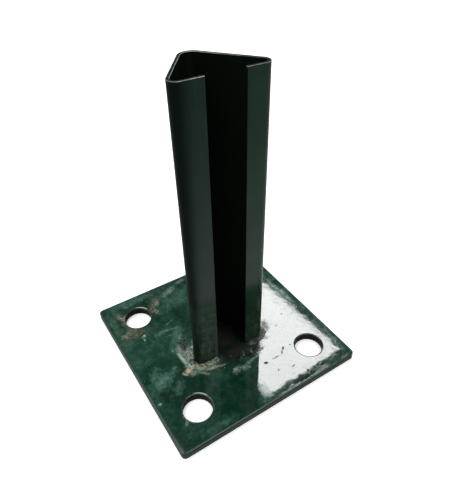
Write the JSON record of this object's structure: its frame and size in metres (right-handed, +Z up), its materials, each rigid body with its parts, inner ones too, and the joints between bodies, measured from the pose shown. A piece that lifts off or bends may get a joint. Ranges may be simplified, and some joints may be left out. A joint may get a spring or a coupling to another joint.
{
  "type": "post base",
  "caption": "Steel post base: square floor plate with anchor holes and a folded three-sided upright, open along a slot between two lips, that a hollow post slides down over.",
  "frame": {"origin": "middle of the floor plate's underside", "axes": "+Z up along the upright; the slot between the lips faces -Y; +X to the right of the slot as seen from the front"},
  "size_m": [0.12, 0.12, 0.175],
  "materials": {
    "plate_coat": "glossy dark green coat, scuffed and dusty",
    "upright_coat": "glossy near-black green coat",
    "weld_coat": "coated weld bead with pale residue"
  },
  "bodies": {
    "root": {"base_plate": "plate_coat", "upright": "upright_coat", "weld_left_lip": "weld_coat", "weld_left_side": "weld_coat", "weld_right_side": "weld_coat", "weld_right_lip": "weld_coat"}
  },
  "joints": []
}
